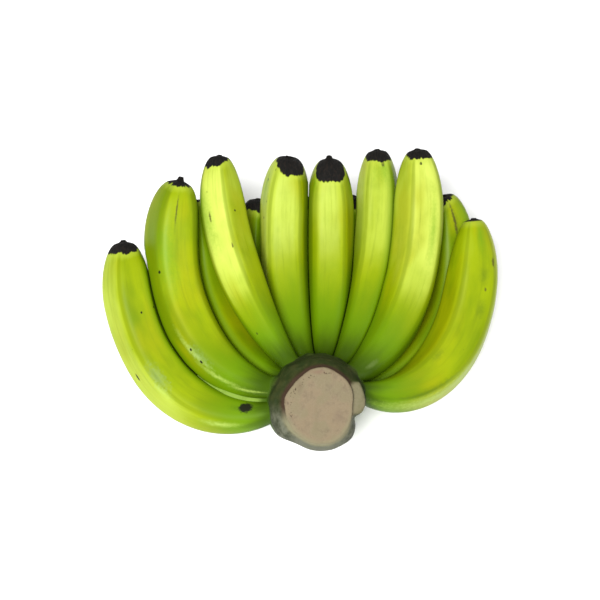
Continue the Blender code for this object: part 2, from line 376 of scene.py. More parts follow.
def pressed(points, middle, finger):
    """Draws back every point past half way to another finger, and tells how much painted shade each gets.
    """
    nearest = np.ones(len(points))
    for other in FINGERS:
        if other is finger:
            continue
        spare = room_left(points, other) - room_left(points, finger)
        nearest = np.minimum(nearest, spare)
        rows = np.flatnonzero(spare < SKIN_GAP)
        if not len(rows):
            continue
        offset = points[rows] - middle[rows]
        low, high = np.zeros(len(rows)), np.ones(len(rows))
        for _ in range(HALVINGS):
            share = (low + high) / 2
            tried = middle[rows] + offset * share[:, None]
            fits = room_left(tried, other) - room_left(tried, finger) > SKIN_GAP
            low, high = np.where(fits, share, low), np.where(fits, high, share)
        points[rows] = middle[rows] + offset * np.maximum(low, THINNEST)[:, None]
    return points, np.clip(1 - nearest / PAINTED_SHADE_WITHIN, 0.0, 1.0)


# %% [markdown]
# ## Values that the peel's finish needs
# The peel's pattern has to bend with the finger. So each point also stores where it was on the straight
# finger, as an attribute that a material can read. Noise that is read there has no seam. The paleness
# of the faces, partly painted light, and the nearness of neighbours, which drives painted shade, are
# stored too.

# %% Helpers that make meshes
def store(mesh, name, values):
    """Keeps one value, or one place, for each point of a mesh."""
    kind, field = ("FLOAT_VECTOR", "vector") if np.ndim(values) == 2 else ("FLOAT", "value")
    layer = mesh.attributes.new(name, kind, "POINT")
    layer.data.foreach_set(field, np.ravel(values).astype(np.float32))


def mesh_from(shape, name):
    """A new mesh with a shape's faces. The shape itself is let go."""
    mesh = bpy.data.meshes.new(name)
    shape.to_mesh(mesh)
    shape.free()
    return mesh


def linked(name, data):
    """A new object for a mesh, a light or a camera, linked into the scene."""
    thing = bpy.data.objects.new(name, data)
    bpy.context.collection.objects.link(thing)
    return thing


# %% How pale each face is, partly as painted light
RIDGE_BLEND = 0.24  # share of a face over which two paleness values blend at a ridge


def painted_light_face_tone(finger, turn):
    """Paleness at each angle, partly painted light: even over a face, with a short change at each ridge."""
    around = (turn % (2 * math.pi)) / (2 * math.pi / 5)
    number = around.astype(int) % 5
    inside = around % 1.0
    face_tones_with_painted_light = np.array(finger.face_tones_with_painted_light)
    own, before, after = face_tones_with_painted_light[number], face_tones_with_painted_light[number - 1], face_tones_with_painted_light[(number + 1) % 5]
    start = np.clip(0.5 + inside / RIDGE_BLEND, 0.5, 1.0)
    end = np.clip(0.5 + (1 - inside) / RIDGE_BLEND, 0.5, 1.0)
    return own * (start + end - 1) + before * (1 - start) + after * (1 - end)


# %% Build all fingers
def build_finger(finger, seed):
    """One finger, pressed by its neighbours and laid down, with all that its finish reads."""
    tube = straight_tube(SIDES, RINGS)
    start = points_of(tube)
    round_share = np.hypot(start[:, 0], start[:, 1])
    turn = np.arctan2(start[:, 1], start[:, 0])
    points, middle, at = moulded(finger, seed, round_share, turn, start[:, 2] + 0.5)
    points, neighbour_green_and_painted_shade = pressed(points, middle, finger)
    move_points(tube, kept_inside(lying(points)))
    bmesh.ops.recalc_face_normals(tube, faces=tube.faces)
    mesh = mesh_from(tube, finger.name + "_peel")
    half = finger.width / 2
    straight = np.stack([np.cos(turn) * half, np.sin(turn) * half, at], axis=1)
    store(mesh, "straight", straight)
    store(mesh, "from_root", at)
    store(mesh, "to_tip", finger.length - at)
    store(mesh, "ridge", np.cos(5 * turn) * 0.5 + 0.5)
    # Each face's paleness, partly painted light.
    store(mesh, "paint_light_tone", painted_light_face_tone(finger, turn))
    # How near a neighbour is, for painted shade and the greener peel there.
    store(mesh, "neighbour_green_and_painted_shade", neighbour_green_and_painted_shade)
    mesh.shade_smooth()
    peel = linked(finger.name + "_peel", mesh)
    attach(peel, "root")
    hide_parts(finger.name)
    return peel


peels = {finger.name: build_finger(finger, number + 1) for number, finger in enumerate(FINGERS)}
for name, peel in peels.items():
    low, high = np.array(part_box(name))
    own = np.array(peel.bound_box)
    grown = max((low - own.min(axis=0)).max(), (own.max(axis=0) - high).max())
    print(name, len(peel.data.vertices), "points, reaches", round(grown * 1000, 2), "mm past its solid")

# %% [markdown]
# ## The crown
# The crown is the cushion that all stalks grow out of. It was cut through with a knife, so one side is
# a flat, fibrous face in a thin rind, and stalks swell out of the other. At one side the knife also
# took a lower slice, which left a small second cut. Real tissue has no joins, so a stub and one sleeve
# for each stalk are fused into one skin.

# %% The crown's outline and its side cut, by bearing
FACE_LEVEL = -0.0215
FACE_SHAPE = (  # bearing, and distance from the middle to the edge of the cut face
    (-180, 0.0276), (-165, 0.0266), (-145, 0.0252), (-122, 0.0242), (-98, 0.0232), (-78, 0.0240),
    (-52, 0.0223), (-30, 0.0231), (-14, 0.0252), (10, 0.0267), (28, 0.0256), (46, 0.0256),
    (66, 0.0251), (90, 0.0229), (112, 0.0240), (137, 0.0260), (157, 0.0276), (180, 0.0276),
)
COLLAR_SHAPE = (  # the same for the collar, where the crown is widest
    (-180, 0.0350), (-168, 0.0344), (-156, 0.0334), (-146, 0.0340), (-131, 0.0374), (-116, 0.0372),
    (-100, 0.0346), (-84, 0.0358), (-66, 0.0322), (-48, 0.0336), (-30, 0.0322), (0, 0.0322),
    (40, 0.0320), (72, 0.0326), (92, 0.0330), (104, 0.0304), (114, 0.0262), (124, 0.0312),
    (138, 0.0352), (150, 0.0348), (170, 0.0352), (180, 0.0350),
)
SIDE_CUT, SIDE_CUT_HALF, SIDE_CUT_END = 82.0, 27.0, 6.0  # bearing, half angle, and how soft its ends are
SOFTENED = 10  # half degrees to each side that an outline is averaged over


def by_bearing(shape, bearing):
    """A smooth distance at each bearing, in degrees, from a short list of them."""
    places, values = np.array(shape).T
    fine = np.linspace(-180, 180, 721)
    rough = np.interp(fine, places, values)
    shifts = range(-SOFTENED, SOFTENED + 1)
    soft = sum(np.roll(rough[:-1], shift) for shift in shifts) / len(shifts)
    return np.interp(bearing, fine[:-1], soft, period=360)


def in_side_cut(bearing):
    """1 in the middle of the side cut and 0 beyond its ends."""
    return np.clip((SIDE_CUT_HALF - np.abs(bearing - SIDE_CUT)) / SIDE_CUT_END, 0.0, 1.0)


print("cut face:", round(2000 * by_bearing(FACE_SHAPE, 90.0), 1), "mm wide at the middle")

# %% [markdown]
# The stub is one more straight tube. A short table says, from the cut face to the back, how deep each
# ring lies and how wide it is. The side cut has rows of its own, blended in at its ends.

# %% The stub of the crown
CROWN_SIDES, CUTS_A_STEP = 120, 6
CROWN_RUN = (  # level along AWAY, share of the way from the cut face's edge to the collar, last scaling
    (FACE_LEVEL, 0.0, 0.15), (FACE_LEVEL, 0.0, 0.60), (FACE_LEVEL, 0.0, 0.97),
    (FACE_LEVEL + 0.0008, 0.02, 1.0), (FACE_LEVEL + 0.0050, 0.20, 1.0),
    (FACE_LEVEL + 0.0085, 0.64, 1.0), (FACE_LEVEL + 0.0120, 0.90, 1.0),
    (-0.004, 1.0, 1.0), (0.005, 1.0, 1.04), (0.013, 1.0, 1.02),
    (0.022, 1.0, 0.88), (0.030, 1.0, 0.64), (0.036, 1.0, 0.34),
)
SIDE_RUN = {  # the rows of that run that differ in the side cut
    4: (FACE_LEVEL + 0.0044, 0.06, 1.0),
    5: (FACE_LEVEL + 0.0050, 0.55, 1.0),
    6: (FACE_LEVEL + 0.0058, 0.96, 1.0),
}


def crown_stub():
    """The crown without its stalks: a tube with the outline of the cut, the collar and the back."""
    tube = straight_tube(CROWN_SIDES, CUTS_A_STEP * (len(CROWN_RUN) - 1) - 1)
    start = points_of(tube)
    turn = np.arctan2(start[:, 0], start[:, 1])
    bearing = np.degrees(turn)
    run = (start[:, 2] + 0.5) * (len(CROWN_RUN) - 1)
    cut_run = [SIDE_RUN.get(step, row) for step, row in enumerate(CROWN_RUN)]
    plain, stepped = between(CROWN_RUN, run).T, between(cut_run, run).T
    level, share, scale = plain + (stepped - plain) * in_side_cut(bearing)
    face, collar = by_bearing(FACE_SHAPE, bearing), by_bearing(COLLAR_SHAPE, bearing)
    reach = (face + (collar - face) * share) * scale * np.hypot(start[:, 0], start[:, 1])
    places = (
        (reach * np.sin(turn))[:, None] * ACROSS
        + (reach * np.cos(turn))[:, None] * ALONG
        + level[:, None] * AWAY
    )
    move_points(tube, places)
    return tube


print("crown's stub:", CROWN_SIDES, "sides and", len(CROWN_RUN), "rows")

# %% [markdown]
# A sleeve is a short, slightly thicker copy of a stalk's root. It sinks into the finger a little way
# up, so the fused crown seems to flow into each stalk with no step. Between the first two stalks
# grows a thin web of green tissue. It is one more sleeve, round a stalk that no finger follows.

# %% Sleeves round the stalks
SLEEVE_SIDES, SLEEVE_RINGS, SLEEVE_LENGTH = 32, 12, 0.016
WEB = Finger("web", -90, -64, 101, 4, 1.45, 0.200, 0.0250, 0.028, 0.006, 0)
WEB_LENGTH, WEB_THINNER = 0.070, 0.0060


def add_sleeve(crown, finger, length=SLEEVE_LENGTH, thinner=0.0014):
    """Adds one sleeve to the crown, thicker than the stalk at its root and thinner at its end."""
    tube = straight_tube(SLEEVE_SIDES, SLEEVE_RINGS)
    start = points_of(tube)
    along = start[:, 2] + 0.5
    at = -STALK_SINK + (length + STALK_SINK) * along
    grown = np.interp(along, (0.0, 0.3, 0.6, 1.0), (0.0010, 0.0003, -0.0004, -thinner))
    radius = half_width(finger, np.clip(at, 0.0, None)) + grown
    middle, way = spine(finger, at)
    across = lean_of(finger)[1]
    back = np.cross(way, across)
    round_it = start[:, :1] * across + DEPTH_SHARE * start[:, 1:2] * back
    move_points(tube, middle + radius[:, None] * round_it)
    bmesh.ops.recalc_face_normals(tube, faces=tube.faces)
    part = mesh_from(tube, "sleeve")
    crown.from_mesh(part)
    bpy.data.meshes.remove(part)


print("sleeves reach", SLEEVE_LENGTH, "m up each stalk, and the web", WEB_LENGTH, "m")

# %% [markdown]
# Stub and sleeves only overlap so far. A Boolean union would leave sharp creases. A voxel remesh makes
# one skin of small even faces, which can be smoothed afterwards.

# %% Fuse the crown
VOXEL = 0.0007


def fused_crown():
    """The stub and all sleeves as one closed skin."""
    crown = crown_stub()
    bmesh.ops.recalc_face_normals(crown, faces=crown.faces)
    for finger in FINGERS:
        add_sleeve(crown, finger)
    add_sleeve(crown, WEB, WEB_LENGTH, WEB_THINNER)
    mesh = mesh_from(crown, "crown_rind")
    rind = linked("crown_rind", mesh)
    fuse = rind.modifiers.new("fuse", "REMESH")
    fuse.mode, fuse.voxel_size = "VOXEL", VOXEL
    bpy.context.view_layer.update()
    evaluated = rind.evaluated_get(bpy.context.evaluated_depsgraph_get())
    solid = bpy.data.meshes.new_from_object(evaluated)
    rind.modifiers.remove(fuse)
    rind.data = solid
    bpy.data.meshes.remove(mesh)
    return rind


crown = fused_crown()
print("fused crown:", len(crown.data.vertices), "points")

# %% [markdown]
# Smoothing fills the creases between the sleeves as a fillet would. The knife's edge stays crisp, so
# the first few millimetres behind the cut face are smoothed only once. Afterwards the whole crown is
# laid down and gets its own attributes: how deep each point lies behind the cut, its bearing, how far
# out it lies, and whether it is in the side cut.

# %% Smooth, lay down and mark the crown
CRISP_DEPTH = 0.0045  # behind the cut, where the knife's edge is kept
SMOOTHINGS, SMOOTHING, CUT_SMOOTHING = 7, 0.5, 0.4
SIDE_CUT_DEPTHS = (0.0020, 0.0072)  # behind the cut face, where the side cut shows
SIDE_CUT_FADE = 0.0010


def smooth(shape, verts, factor):
    bmesh.ops.smooth_vert(
        shape, verts=verts, factor=factor, use_axis_x=True, use_axis_y=True, use_axis_z=True
    )


def finish_crown(rind):
    """Smooths the crown, lays it down and stores what its finish reads."""
    shape = bmesh.new()
    shape.from_mesh(rind.data)
    crisp_to = FACE_LEVEL + CRISP_DEPTH
    for _ in range(SMOOTHINGS):
        smooth(shape, [vert for vert in shape.verts if vert.co.y > crisp_to], SMOOTHING)
    smooth(shape, [vert for vert in shape.verts if vert.co.y <= crisp_to], CUT_SMOOTHING)
    own = points_of(shape)
    move_points(shape, kept_inside(lying(own)))
    shape.to_mesh(rind.data)
    shape.free()

    turn = np.arctan2(own[:, 0], own[:, 2])
    behind = own[:, 1] - FACE_LEVEL
    from_middle = np.hypot(own[:, 0], own[:, 2])
    ways = np.stack([np.sin(turn), np.cos(turn), np.zeros_like(turn)], axis=1)
    start, end = SIDE_CUT_DEPTHS
    deep_enough = np.clip((behind - start) / SIDE_CUT_FADE, 0.0, 1.0)
    shallow_enough = np.clip((end - behind) / SIDE_CUT_FADE, 0.0, 1.0)
    side_cut = in_side_cut(np.degrees(turn)) * deep_enough * shallow_enough
    store(rind.data, "behind_cut", behind)
    store(rind.data, "from_middle", from_middle)
    store(rind.data, "edge_share", from_middle / by_bearing(FACE_SHAPE, np.degrees(turn)))
    store(rind.data, "bearing_turn", ways)
    store(rind.data, "own_axes", own)
    store(rind.data, "side_cut", side_cut)
    rind.data.shade_smooth()


finish_crown(crown)
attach(crown, "root")
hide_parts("crown")
print("crown:", len(crown.data.polygons), "faces, with", len(crown.data.attributes), "layers of values")

# %% [markdown]
# ## Small helpers for materials
# A material here is a chain of nodes. A small class keeps the chains short, with one call for each
# kind of node. Its read gives an attribute, its ramp turns a range of values into 0 to 1, its mix lays
# a colour over another, its spot is a soft ellipse at one place, and put sets the surface itself.


# %% Node helpers
class Finish:
    """A new material and short calls that add its nodes."""

    def __init__(self, name):
        self.material = bpy.data.materials.new(name)
        self.material.use_nodes = True
        self.nodes = self.material.node_tree.nodes
        self.links = self.material.node_tree.links
        self.shader = self.nodes["Principled BSDF"]

    def join(self, source, target):
        """Links a socket, or sets a plain value."""
        if hasattr(source, "links"):
            self.links.new(source, target)
        else:
            target.default_value = source

    def node(self, kind, inputs, **settings):
        """Adds a node. Its inputs are given by their names or numbers."""
        node = self.nodes.new("ShaderNode" + kind)
        for name, value in settings.items():
            setattr(node, name, value)
        for key, source in inputs.items():
            self.join(source, node.inputs[key])
        return node

    def put(self, name, source):
        """Sets one property of the surface itself."""
        self.join(source, self.shader.inputs[name])

    def read(self, name, part="Fac"):
        return self.node("Attribute", {}, attribute_name=name).outputs[part]

    def ramp(self, value, low, high, to_low=0.0, to_high=1.0):
        inputs = dict(enumerate((value, low, high, to_low, to_high)))
        return self.node("MapRange", inputs, interpolation_type="SMOOTHSTEP").outputs["Result"]

    def math(self, kind, first, second=0.0):
        return self.node("Math", {0: first, 1: second}, operation=kind).outputs[0]

    def times(self, first, second):
        return self.math("MULTIPLY", first, second)

    def plus(self, first, second):
        return self.math("ADD", first, second)

    def scaled(self, vector, scale, shift=(0.0, 0.0, 0.0)):
        inputs = {"Vector": vector, "Scale": scale, "Location": shift}
        return self.node("Mapping", inputs).outputs["Vector"]

    def noise(self, vector, scale, detail=3.0, roughness=0.5):
        inputs = {"Vector": vector, "Scale": scale, "Detail": detail, "Roughness": roughness}
        return self.node("TexNoise", inputs).outputs["Fac"]

    def mix(self, share, first, second):
        """Lays the second colour over the first one."""
        first, second = ((*each, 1.0) if isinstance(each, tuple) else each for each in (first, second))
        return self.node("Mix", {0: share, 6: first, 7: second}, data_type="RGBA").outputs[2]

    def spot(self, vector, centre, size, uneven, inner):
        """1 near the middle of an ellipsoid and 0 outside it, with an uneven edge that starts at inner."""
        shift = [-at / side for at, side in zip(centre, size)]
        shrunk = self.scaled(vector, [1 / side for side in size], shift)
        away = self.node("VectorMath", {0: shrunk}, operation="LENGTH").outputs["Value"]
        return self.ramp(self.plus(away, uneven), 1.0, inner)

    def bump(self, height, strength, distance, below=None):
        inputs = {"Height": height, "Strength": strength, "Distance": distance}
        if below is not None:
            inputs["Normal"] = below
        return self.node("Bump", inputs).outputs["Normal"]


print("material helpers are ready")

# %% [markdown]
# ## Green peel
# Unripe peel is satin, and its colour is never even. Near the crown it is deep green, over the body it
# turns yellow green, and faint darker streaks run along it. A few corky specks are scattered on it.
# The deep green near the crown is partly painted shade, and the paleness of the faces partly painted light.
# The layers of colour are a table, because each does the same: a value drives how much of it shows.

# %% The peel's colours
DEEP_GREEN = (0.024, 0.052, 0.0006)
LEAF_GREEN = (0.088, 0.172, 0.0006)
MID_GREEN = (0.112, 0.170, 0.0006)
YELLOW_GREEN = (0.200, 0.258, 0.0008)
PALE_GREEN = (0.310, 0.385, 0.036)
# Painted highlight: the faces that look most lit go on past pale to this colour.
PAINTED_HIGHLIGHT_GREEN = (0.420, 0.490, 0.075)
WARM_GREEN = (0.245, 0.250, 0.0008)
OLIVE = (0.100, 0.142, 0.0006)
CAP_BLACK = (0.005, 0.005, 0.0045)
CAP_GREY = (0.011, 0.0105, 0.0095)
CAP_BROWN = (0.024, 0.016, 0.012)
SPECK_BROWN = (0.022, 0.024, 0.004)
PEEL_PATTERNS = {  # scale along the finger (less draws it out more), then scale, detail and roughness
    "streaks": (0.06, 420.0, 4.0, 0.6),
    "broad": (0.35, 55.0, 3.0, 0.5),
    "blotch": (0.6, 85.0, 3.0, 0.5),
    "ragged": (0.5, 170.0, 2.5, 0.55),
    "fibres": (0.2, 900.0, 3.0, 0.7),
}
PEEL_LAYERS = (  # what drives it, where that starts and ends, how much shows at each end, colour
    # The first three rows are partly painted light: paler where light falls, up to a painted highlight.
    ("paint_light_tone", 0.00, 0.45, 0.0, 1.00, YELLOW_GREEN),
    ("paint_light_tone", 0.40, 1.05, 0.0, 1.00, PALE_GREEN),
    ("paint_light_tone", 1.00, 1.60, 0.0, 1.00, PAINTED_HIGHLIGHT_GREEN),
    ("warm", 0.46, 0.68, 0.0, 0.50, WARM_GREEN),
    ("blotch", 0.46, 0.80, 0.0, 0.20, LEAF_GREEN),
    ("streaks", 0.48, 0.75, 0.0, 0.26, OLIVE),
    ("ridge", 0.90, 1.00, 0.0, 0.42, OLIVE),
    # Painted shade near neighbouring fingers, partly also the greener peel that grew there.
    ("neighbour_green_and_painted_shade", 0.10, 1.00, 0.0, 0.72, LEAF_GREEN),
)
SPECK_SCALE, SPECK_SIZE = 95.0, 0.10
print("peel:", len(PEEL_LAYERS), "layers of colour from", len(PEEL_PATTERNS), "patterns")

# %% [markdown]
# Every finger gets the same chain of nodes, with its own shift of the noise. The noises are read on
# the straight finger and squeezed along it, which draws them out as streaks.


# %% Living peel and its specks
def peel_values(peel, finger, seed):
    """What drives the peel's colour, by name: stored values, noises, and the tone made of both."""
    values = {name: peel.read(name) for name in ("from_root", "to_tip", "ridge", "neighbour_green_and_painted_shade")}
    values["straight"] = straight = peel.read("straight", "Vector")
    values["shift"] = shift = (seed * 0.37, seed * 0.19, seed * 0.53)
    for name, (drawn_out, *noise) in PEEL_PATTERNS.items():
        values[name] = peel.noise(peel.scaled(straight, (1.0, 1.0, drawn_out), shift), *noise)
    own_shift = (seed * 0.71, 0.3, seed * 0.29)
    values["warm"] = peel.noise(peel.scaled(straight, (1.0, 1.0, 0.4), own_shift), 38.0, 2.0)
    values["crumbly"] = peel.plus(peel.noise(straight, 420.0, 4.0, 0.7), -0.5)
    values["uneven"] = peel.plus(values["broad"], -0.5)
    # Towards the stalk the paleness fades, partly as painted shade near the crown.
    stalk_green_and_painted_shade = peel.ramp(values["from_root"], finger.green * 0.55, finger.green * 1.35, 0.25, 1.0)
    paint_light_tone = peel.plus(peel.read("paint_light_tone"), values["uneven"])
    values["paint_light_tone"] = peel.times(paint_light_tone, stalk_green_and_painted_shade)
    return values


def living_peel(peel, values, finger):
    """The peel's colour before specks and marks, from pale faces to the deep green stalk."""
    body = MID_GREEN
    for name, low, high, to_low, to_high, shade in PEEL_LAYERS:
        body = peel.mix(peel.ramp(values[name], low, high, to_low, to_high), body, shade)
    # Leaf and deep green near the crown: partly the peel's own colour, partly painted shade.
    wavy = peel.plus(values["from_root"], peel.times(values["uneven"], 0.030))
    body = peel.mix(peel.ramp(wavy, finger.green * 0.35, finger.green, 1.0, 0.0), body, LEAF_GREEN)
    return peel.mix(peel.ramp(wavy, 0.006, finger.green * 0.46, 0.92, 0.0), body, DEEP_GREEN)


def with_specks(peel, values, body):
    """Adds corky specks: a few of the cells of a Voronoi pattern get one, each of its own size."""
    place = peel.scaled(values["straight"], (1.0, 1.0, 0.7), values["shift"])
    cells = peel.node("TexVoronoi", {"Vector": place, "Scale": SPECK_SCALE})
    chosen = peel.node("SeparateColor", {"Color": cells.outputs["Color"]})
    size = peel.ramp(chosen.outputs["Red"], 0.82, 1.0, 0.0, SPECK_SIZE)
    speck = peel.ramp(cells.outputs["Distance"], size, peel.times(size, 0.55), 0.0, 0.75)
    return peel.mix(speck, body, SPECK_BROWN)


print("specks: half width up to", round(SPECK_SIZE / SPECK_SCALE * 1000, 1), "mm")

# %% [markdown]
# ## Marks on the peel
# A hand that was picked, carried and packed has scuffs, dried sap and greener streaks. Other marks are
# painted light: pale patches are painted highlights on the lower faces, dark green lines are painted
# shade in creases, one pale patch stands for lit bits of stalk, and one black spot is painted shadow
# in the gap between two stalks.
# They could be painted on an image, but then they would need an unwrapped peel. Here each is a soft
# ellipse with a crumbly edge, given by its place on the straight finger, so it bends with the peel.

# %% Where the marks are, and their kinds
# Kind, degrees round the straight finger, then in mm: distance from its root, half length, half width.
MARKS = {
    "banana_inner_1": (
        ("scuff", 150, 94, 17, 7), ("painted_highlight", 138, 84, 12, 4), ("painted_crease_shade", 150, 96, 12, 2),
        ("dry", 102, 105, 3, 1.1), ("dry", -150, 145, 1.3, 1), ("dry", 180, 143, 1.2, 0.9),
        # The dry spot at -173 degrees and 24 mm is painted shadow in the gap between the first two stalks.
        ("painted_crease_shade", -178, 29, 13, 7), ("dry", -173, 24, 6.6, 8.6), ("painted_highlight", 122, 40, 20, 5),
    ),
    "banana_inner_2": (
        ("leaf", 154, 150, 45, 11), ("painted_crease_shade", 172, 180, 22, 1.6), ("rust", 172, 186, 14, 0.8),
        ("painted_highlight", 130, 70, 30, 3.6), ("painted_highlight", 118, 44, 26, 3.6), ("painted_highlight", 108, 20, 20, 3.4),
        ("scuff", 134, 64, 17, 6), ("dry", 132, 72, 1.4, 1.2), ("dry", 128, 60, 1.8, 1.3),
        ("dry", 136, 137, 1.6, 1.2),
    ),
    "banana_inner_3": (
        ("leaf", 160, 135, 42, 8), ("rust", 168, 138, 6, 1.2), ("dry", -120, 140, 1.2, 0.8),
        ("rust", -150, 110, 3, 0.8),
    ),
    "banana_inner_4": (
        ("leaf", -178, 172, 24, 8), ("dry", -174, 178, 1.5, 1), ("dry", -170, 148, 1.2, 0.9),
    ),
    "banana_inner_5": (
        ("leaf", -156, 178, 16, 6), ("leaf", -26, 172, 20, 5), ("dry", -18, 178, 7.5, 1.4),
    ),
    "banana_inner_6": (
        ("leaf", -95, 192, 24, 19), ("dry", -96, 197, 4.8, 2.2),
    ),
    "banana_inner_7": (
        ("leaf", -20, 150, 50, 5), ("dry", -48, 205, 1.7, 1.7), ("painted_lit_stalk_bit", -17, 19, 10, 5),
    ),
    "banana_inner_8": (
        ("leaf", -30, 180, 20, 7), ("painted_highlight", 26, 58, 60, 11.8), ("painted_crease_shade", -6, 50, 44, 4.4),
        ("painted_crease_shade", -4, 48, 40, 2.2), ("rust", -4, 160, 5, 2), ("painted_crease_shade", -26, 150, 12, 5.6),
        ("painted_crease_shade", -22, 124, 12, 6), ("painted_crease_shade", -62, 76, 13, 4.6), ("rust", -20, 140, 1.8, 1.2),
    ),
    "banana_outer_6": (
        ("leaf", -5, 208, 30, 13), ("painted_crease_shade", -40, 206, 26, 4), ("rust", -42, 207, 24, 1.7),
    ),
}
MARK_KINDS = {  # strength, unevenness, where its edge starts, and colour
    # Dry spots are dark blemishes; the large one near the first finger's root is painted shadow.
    "dry": (0.96, 1.0, 0.6, (0.006, 0.0055, 0.004)),
    "rust": (0.75, 1.6, 0.2, (0.045, 0.034, 0.010)),
    # Painted highlight: pale patches where the lower faces catch light from the floor.
    "painted_highlight": (0.75, 1.2, -0.3, (0.300, 0.400, 0.075)),
    # Painted highlight: a pale patch standing for small bits of stalk that catch the light.
    "painted_lit_stalk_bit": (0.60, 0.8, 0.2, (0.090, 0.135, 0.030)),
    "scuff": (0.50, 1.8, -0.2, (0.190, 0.270, 0.100)),
    "leaf": (0.62, 1.0, -0.4, (0.085, 0.215, 0.004)),
    # Painted shade: dark green lines where creases would lie in shade.
    "painted_crease_shade": (0.45, 0.9, -0.2, (0.040, 0.085, 0.004)),
}


def with_marks(peel, values, finger, body):
    """Lays each of the finger's marks over its colour."""
    half = finger.width / 2
    for kind, degrees, *measures in MARKS.get(finger.name, ()):
        around = math.radians(degrees)
        at, long, wide = (measure / 1000 for measure in measures)
        centre = (math.cos(around) * half, math.sin(around) * half, at)
        strength, unevenness, inner, shade = MARK_KINDS[kind]
        uneven = peel.times(values["crumbly"], unevenness)
        mark = peel.spot(values["straight"], centre, (wide, wide, long), uneven, inner)
        body = peel.mix(peel.times(mark, strength), body, shade)
    return body


print(sum(len(marks) for marks in MARKS.values()), "marks of", len(MARK_KINDS), "kinds")

# %% [markdown]
# ## The blossom end, and the whole peel
# The black end isn't cut off at an even line. Its edge is ragged and runs further down on one side,
# as a tongue, and the peel just before it is paler. The scar is dull and fibrous, the peel is satin.

# %% The blossom end and the finished peel
SHORTEST_CAP = 0.0008
RAGGED_DEPTH = 0.008  # the noise moves the cap's edge by up to half of this to each side


def past_cap_edge(peel, values, finger):
    """How far each place lies past the ragged edge of the blossom end, towards the tip."""
    half = finger.width / 2
    side = math.radians(270 + finger.fan + finger.tongue_turn - finger.roll - finger.twist)
    inputs = {0: values["straight"], 1: (math.cos(side), math.sin(side), 0.0)}
    to_side = peel.node("VectorMath", inputs, operation="DOT_PRODUCT").outputs["Value"]
    tongue = peel.ramp(to_side, -0.2 * half, 0.95 * half, 0.0, finger.tongue)
    ragged = peel.times(values["ragged"], RAGGED_DEPTH)
    edge = peel.plus(ragged, peel.plus(tongue, finger.cap - RAGGED_DEPTH / 2))
    return peel.math("SUBTRACT", peel.math("MAXIMUM", edge, SHORTEST_CAP), values["to_tip"])


def green_peel(finger, seed):
    """The whole finish of one finger."""
    peel = Finish("green_peel_" + finger.name)
    values = peel_values(peel, finger, seed)
    body = living_peel(peel, values, finger)
    body = with_specks(peel, values, body)
    body = with_marks(peel, values, finger, body)

    past_edge = past_cap_edge(peel, values, finger)
    body = peel.mix(peel.ramp(past_edge, -0.0060, -0.0004, 0.0, 0.45), body, PALE_GREEN)
    cap = peel.ramp(past_edge, -0.0006, 0.0005)
    dry = peel.mix(peel.ramp(values["fibres"], 0.35, 0.75), CAP_BLACK, CAP_GREY)
    dry = peel.mix(peel.ramp(values["crumbly"], -0.05, 0.20, 0.0, 0.6), dry, CAP_BROWN)
    peel.put("Base Color", peel.mix(cap, body, dry))

    satin = peel.plus(0.36, peel.times(values["streaks"], 0.16))
    peel.put("Roughness", peel.plus(satin, peel.times(cap, 0.35)))
    relief = peel.bump(values["streaks"], 0.10, 0.0006)
    relief = peel.bump(values["blotch"], 0.12, 0.0012, relief)
    relief = peel.bump(peel.times(values["fibres"], cap), 0.9, 0.0016, relief)
    peel.put("Normal", relief)
    peel.put("Specular IOR Level", 0.09)
    return peel.material


for number, finger in enumerate(FINGERS):
    peels[finger.name].data.materials.append(green_peel(finger, number + 1))
print("peel on", len(peels), "fingers")

# %% [markdown]
# ## Cut face and rind
# The cut has dried to a dull tan, with faint fibres, darker pores and a broken reddish ring near its
# edge. Round the top the rind is a dark grey green collar, partly as painted shade under the stalks,
# and below it is paler and greyer. All of this reads the crown's stored depth and bearing, so it
# follows when the outline is changed.

# %% The crown's colours
TAN, TAN_PINK = (0.140, 0.115, 0.067), (0.152, 0.116, 0.070)
TAN_DARK, TAN_PALE = (0.098, 0.074, 0.043), (0.168, 0.139, 0.089)
RIM_BROWN, RIM_OLIVE = (0.030, 0.016, 0.008), (0.150, 0.140, 0.080)
# The collar's dark greens are partly painted shade under the stalks.
COLLAR_GREEN, COLLAR_OLIVE = (0.011, 0.019, 0.002), (0.024, 0.028, 0.005)
RIND_GREY, RIND_PALE = (0.028, 0.032, 0.016), (0.098, 0.101, 0.070)
SIDE_TAN, SIDE_OLIVE = (0.128, 0.112, 0.064), (0.080, 0.080, 0.035)
STALK_GREEN, WEB_GREEN = (0.032, 0.068, 0.001), (0.150, 0.235, 0.030)
CUT_SPOTS = (  # place across and along the cut, half width and half height, strength, colour
    ((-0.001, 0.0230), (0.0090, 0.0028), 0.7, (0.128, 0.074, 0.050)),
    ((-0.0135, 0.0130), (0.0040, 0.0080), 0.5, (0.082, 0.056, 0.034)),
    ((0.0130, -0.0080), (0.0050, 0.0080), 0.5, (0.110, 0.078, 0.052)),
    ((-0.0020, -0.0080), (0.0030, 0.0200), 0.4, (0.110, 0.092, 0.052)),
)
SPOT_DEPTH = 0.02
print("crown:", len(CUT_SPOTS), "spots on the cut face")

# %% [markdown]
# The cut face is mixed in layers, each over what is there, as thin coats of paint would be: an uneven
# tan, then fibres and pores, then the ring and a few larger spots.


